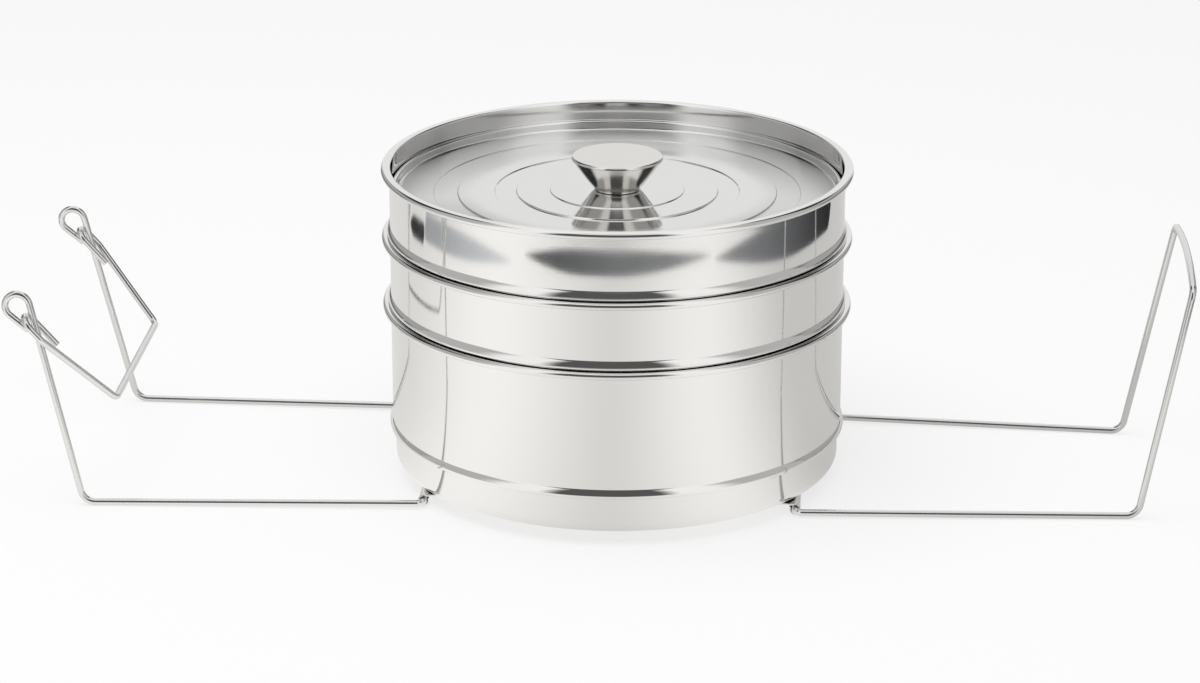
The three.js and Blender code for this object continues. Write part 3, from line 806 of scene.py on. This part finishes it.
def table():
    """A white table that takes the object's shadow.

    Reflections see a painted reflection on it: two painted pools of light, a painted tone by direction, and the
    room's walls painted beyond its edge.
    """
    mesh = bpy.data.meshes.new("table")
    size, z = TABLE_HALF, TABLE_Z * MM
    mesh.from_pydata([(-size, -size, z), (size, -size, z), (size, size, z), (-size, size, z)], [], [(0, 1, 2, 3)])
    material = bpy.data.materials.new("table_white")
    material.use_nodes = True
    nodes = Nodes(material.node_tree)
    material.node_tree.nodes.clear()
    place = nodes.add("ShaderNodeTexCoord").outputs["Object"]
    turn, _ = turn_from_front(nodes, place)
    reach = nodes.add("ShaderNodeVectorMath", operation="LENGTH")
    nodes.link(place, reach.inputs[0])

    # A painted pool of light, brightest at its middle direction
    def painted_pool(centre, width, strength):
        off = nodes.math("ABSOLUTE", nodes.math("SUBTRACT", turn, centre))
        return nodes.ramp(off, 0.0, width, strength, 0.0)

    tone = nodes.ramp(turn, *TABLE_TURN, TABLE_PAINTED_TONE["left"], TABLE_PAINTED_TONE["right"])
    behind = nodes.ramp(nodes.math("ABSOLUTE", turn), *TABLE_BACK, 0.0, 1.0)
    to_back = nodes.math("SUBTRACT", TABLE_PAINTED_TONE["back"], tone)
    tone = nodes.math("ADD", tone, nodes.math("MULTIPLY", behind, to_back))
    tone = nodes.math("ADD", tone, nodes.math("ADD", *(painted_pool(*row) for row in PAINTED_POOLS)))
    past_edge = nodes.ramp(reach.outputs["Value"], *TABLE_END, 0.0, 1.0)
    beyond = nodes.math("MULTIPLY", past_edge, nodes.math("SUBTRACT", wall_tone(nodes, turn), tone))
    tone = nodes.math("ADD", tone, beyond)
    # Painted reflection: the glow that reflections see on the table, with its painted pools and walls
    painted_reflection = nodes.add("ShaderNodeEmission")
    painted_reflection.inputs["Color"].default_value = (1.0, 0.99, 0.97, 1.0)
    nodes.link(tone, painted_reflection.inputs["Strength"])
    paint = nodes.add("ShaderNodeBsdfDiffuse")
    paint.inputs["Color"].default_value = (0.9, 0.9, 0.9, 1.0)
    glow = nodes.add("ShaderNodeEmission")
    path = nodes.add("ShaderNodeLightPath")
    seen = nodes.add("ShaderNodeMixShader")
    nodes.link(nodes.math("MULTIPLY", path.outputs["Is Camera Ray"], TABLE_GLOW_SEEN), seen.inputs[0])
    nodes.link(paint.outputs[0], seen.inputs[1])
    nodes.link(glow.outputs[0], seen.inputs[2])
    glossy = nodes.add("ShaderNodeMixShader")
    nodes.link(nodes.math("MULTIPLY", path.outputs["Is Glossy Ray"], TABLE_PAINTED_REFLECTION_SHARE), glossy.inputs[0])
    nodes.link(seen.outputs[0], glossy.inputs[1])
    nodes.link(painted_reflection.outputs[0], glossy.inputs[2])
    out = nodes.add("ShaderNodeOutputMaterial")
    nodes.link(glossy.outputs[0], out.inputs["Surface"])
    mesh.materials.append(material)
    piece = bpy.data.objects.new("table", mesh)
    bpy.context.scene.collection.objects.link(piece)


def painted_reflection_band(name, radius, half_width, start, end, tone_start, tone_end, taper_start, taper_end):
    """A painted dark reflection: a dimly glowing strip round the table's edge, seen only as a reflection. Angles
    run from the front, in degrees.
    """
    places = []
    for k in range(BAND_CUTS + 1):
        turn = start + (end - start) * k / BAND_CUTS
        share = min(1.0, (turn - start) / taper_start) * min(1.0, (end - turn) / taper_end)
        spread = half_width * math.sin(share * math.pi / 2)
        angle = math.radians(turn)
        for reach in (radius - spread, radius + spread):
            places.append((reach * math.sin(angle), -reach * math.cos(angle), TABLE_Z * MM + BAND_LIFT))
    faces = [(2 * k, 2 * k + 1, 2 * k + 3, 2 * k + 2) for k in range(BAND_CUTS)]
    mesh = bpy.data.meshes.new(name)
    mesh.from_pydata(places, [], faces)
    material = bpy.data.materials.new(name)
    material.use_nodes = True
    nodes = Nodes(material.node_tree)
    material.node_tree.nodes.clear()
    turn, _ = turn_from_front(nodes, nodes.add("ShaderNodeTexCoord").outputs["Object"])
    # Painted reflection tone, changing along the strip from its start to its end
    glow = nodes.add("ShaderNodeEmission")
    glow.inputs["Color"].default_value = (0.94, 0.96, 1.0, 1.0)
    nodes.link(nodes.ramp(turn, start, end, tone_start, tone_end), glow.inputs["Strength"])
    out = nodes.add("ShaderNodeOutputMaterial")
    nodes.link(glow.outputs[0], out.inputs["Surface"])
    mesh.materials.append(material)
    piece = bpy.data.objects.new(name, mesh)
    bpy.context.scene.collection.objects.link(piece)
    piece.visible_camera = False
    piece.visible_diffuse = False
    piece.visible_shadow = False
    piece.visible_transmission = False


def studio_tone(nodes):
    """The studio by direction: walls with lighter feet in the corners, under a white ceiling.

    The ceiling comes down lower at the back and is dimmer straight above.
    """
    turn, height = turn_from_front(nodes, nodes.add("ShaderNodeTexCoord").outputs["Generated"])
    rise = nodes.math("MULTIPLY", nodes.math("ARCSINE", height), 180 / math.pi)
    side = nodes.math("ABSOLUTE", turn)
    edge = nodes.ramp(side, *CEILING_DROP, CEILING_FRONT, CEILING_BACK)
    ceiling = nodes.ramp(nodes.math("SUBTRACT", rise, edge), 0.0, CEILING_FADE, 0.0, 1.0)
    low_side = nodes.ramp(side, *LOW_START, 0.0, LOW_CORNER)
    low = nodes.math("MULTIPLY", low_side, nodes.ramp(rise, *LOW_TOP, 1.0, 0.0))
    walls = nodes.math("MAXIMUM", wall_tone(nodes, turn), low)
    room = nodes.math("MAXIMUM", walls, ceiling)
    return nodes.math("MULTIPLY", room, nodes.ramp(rise, *ZENITH_START, 1.0, DIM_ZENITH))


def surroundings():
    """White to the camera, even light on the object, the studio in reflections, one lamp and the painted dark
    reflection strips.
    """
    world = bpy.data.worlds.new("studio")
    bpy.context.scene.world = world
    world.use_nodes = True
    nodes = Nodes(world.node_tree)
    world.node_tree.nodes.clear()
    path = nodes.add("ShaderNodeLightPath")
    lit = nodes.add("ShaderNodeBackground")
    lit.inputs["Color"].default_value = (1.0, 1.0, 1.0, 1.0)
    lit.inputs["Strength"].default_value = WORLD_LIGHT
    white = nodes.add("ShaderNodeBackground")
    white.inputs["Color"].default_value = (1.0, 1.0, 1.0, 1.0)
    mirrored_room = nodes.add("ShaderNodeBackground")
    mirrored_room.inputs["Color"].default_value = (1.0, 1.0, 1.0, 1.0)
    nodes.link(studio_tone(nodes), mirrored_room.inputs["Strength"])
    seen = nodes.add("ShaderNodeMixShader")
    nodes.link(path.outputs["Is Camera Ray"], seen.inputs[0])
    nodes.link(lit.outputs[0], seen.inputs[1])
    nodes.link(white.outputs[0], seen.inputs[2])
    glossy = nodes.add("ShaderNodeMixShader")
    nodes.link(path.outputs["Is Glossy Ray"], glossy.inputs[0])
    nodes.link(seen.outputs[0], glossy.inputs[1])
    nodes.link(mirrored_room.outputs[0], glossy.inputs[2])
    out = nodes.add("ShaderNodeOutputWorld")
    nodes.link(glossy.outputs[0], out.inputs["Surface"])

    lamp = bpy.data.lights.new("softbox", "AREA")
    lamp.shape = "RECTANGLE"
    lamp.size, lamp.size_y = LAMP_SIZE
    lamp.energy = LAMP_WATTS
    holder = bpy.data.objects.new("softbox", lamp)
    holder.location = LAMP_PLACE
    holder.rotation_euler = (Vector(LAMP_AIM) - Vector(LAMP_PLACE)).to_track_quat("-Z", "Y").to_euler()
    holder.visible_glossy = False
    bpy.context.scene.collection.objects.link(holder)

    for band in PAINTED_REFLECTION_BANDS:
        painted_reflection_band(*band)


def place_camera():
    """The photograph's viewpoint, fitted to the pans' rims and walls."""
    yaw, rise, roll = map(math.radians, (CAMERA_YAW, CAMERA_RISE, CAMERA_ROLL))
    back = Vector((math.sin(yaw) * math.cos(rise), -math.cos(yaw) * math.cos(rise), math.sin(rise)))
    right = Vector((math.cos(yaw), math.sin(yaw), 0.0))
    up = back.cross(right)
    target = right * TARGET_RIGHT * MM + Vector((0, 0, TARGET_HEIGHT * MM))
    eye = target + back * CAMERA_DISTANCE
    turned_right = right * math.cos(roll) + up * math.sin(roll)
    turned_up = up * math.cos(roll) - right * math.sin(roll)
    camera = bpy.data.cameras.new("photo")
    camera.sensor_width = SENSOR
    camera.lens = SENSOR * FOCAL_PIXELS / PHOTO_PIXELS
    camera.clip_start = 0.01
    holder = bpy.data.objects.new("photo", camera)
    holder.matrix_world = Matrix((
        (turned_right.x, turned_up.x, back.x, eye.x),
        (turned_right.y, turned_up.y, back.y, eye.y),
        (turned_right.z, turned_up.z, back.z, eye.z),
        (0, 0, 0, 1),
    ))
    bpy.context.scene.collection.objects.link(holder)
    bpy.context.scene.camera = holder


def stand_for(piece, body, node):
    """Sets a piece in a CAD node's place: puts it on its body and hides the node."""
    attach(piece, body)
    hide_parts(node)


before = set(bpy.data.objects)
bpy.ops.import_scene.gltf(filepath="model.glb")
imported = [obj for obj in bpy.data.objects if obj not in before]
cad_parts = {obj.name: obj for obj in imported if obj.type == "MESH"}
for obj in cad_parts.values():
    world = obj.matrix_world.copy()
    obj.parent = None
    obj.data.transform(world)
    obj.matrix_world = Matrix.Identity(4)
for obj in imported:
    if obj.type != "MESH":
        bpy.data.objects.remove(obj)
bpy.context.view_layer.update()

pan_steel = turned_steel("pan_steel", (0.84, 0.835, 0.82), smooth=0.03, rough=0.06,
                         line_scale=2600.0, line_depth=0.00001)
lid_steel = turned_steel("lid_steel", (0.8, 0.798, 0.79), smooth=0.32, rough=0.4,
                         line_scale=2600.0, line_depth=0.00001, anisotropic=0.85,
                         satin_ring=(LID_SATIN_INSIDE * MM, LID_SATIN_OUTSIDE * MM))
knob_steel = turned_steel("knob_steel", (0.77, 0.755, 0.725), smooth=0.1, rough=0.15,
                          line_scale=3200.0, line_depth=0.00002, anisotropic=0.6)
screw_steel = turned_steel("screw_steel", (0.62, 0.62, 0.62), smooth=0.28, rough=0.4,
                           line_scale=2400.0, line_depth=0.00003)
wire_steel = drawn_wire("wire_steel", (0.76, 0.757, 0.75))
sheet_steel = rolled_sheet("sheet_steel", (0.76, 0.757, 0.75))

bottom_z = PLATE_SHEET + SEAT_GAP
middle_z = bottom_z + DEEP_PAN_HEIGHT + SEAT_GAP - bead_seat()
top_z = middle_z + SHALLOW_PAN_HEIGHT + SEAT_GAP - bead_seat()
lid_z = top_z + lid_seat() + SEAT_GAP
plateau_z = lid_z + lid_plate_top()[-1][1]
washer_z = plateau_z - LID_SHEET - SEAT_GAP - WASHER_SHEET
screw_z = washer_z - SEAT_GAP - SCREW_HEAD_HEIGHT

stand_for(sling_plate(sheet_steel), "sling_base", "sling_base")
stand_for(left_handle(wire_steel), "left_handle", "left_handle")
stand_for(right_handle(wire_steel), "right_handle", "right_handle")
stand_for(lock_bail(wire_steel), "lock_bail", "lock_bail")
deep, shallow = pan_profile(DEEP_PAN_HEIGHT), pan_profile(SHALLOW_PAN_HEIGHT)
stand_for(lathe("deep_pan", deep, bottom_z, pan_steel), "bottom_pan", "bottom_pan")
stand_for(lathe("lower_steamer", shallow, middle_z, pan_steel), "middle_pan", "middle_pan")
stand_for(lathe("upper_steamer", shallow, top_z, pan_steel), "top_pan", "top_pan")
stand_for(lathe("lid_plate", lid_profile(), lid_z, lid_steel), "lid", "lid")
knob = lathe("knob", knob_profile(), plateau_z + KNOB_GAP, knob_steel, KNOB_SIDES)
stand_for(knob, "lid", "lid_knob")
washer = lathe("washer", washer_profile(), washer_z, screw_steel, SCREW_SIDES)
stand_for(washer, "lid", "knob_washer")
screw = lathe("screw", screw_profile(), screw_z, screw_steel, SCREW_SIDES)
cut_cross(screw, screw_z)
stand_for(screw, "lid", "knob_screw")

table()
surroundings()
place_camera()
bpy.context.scene.view_settings.view_transform = "Standard"
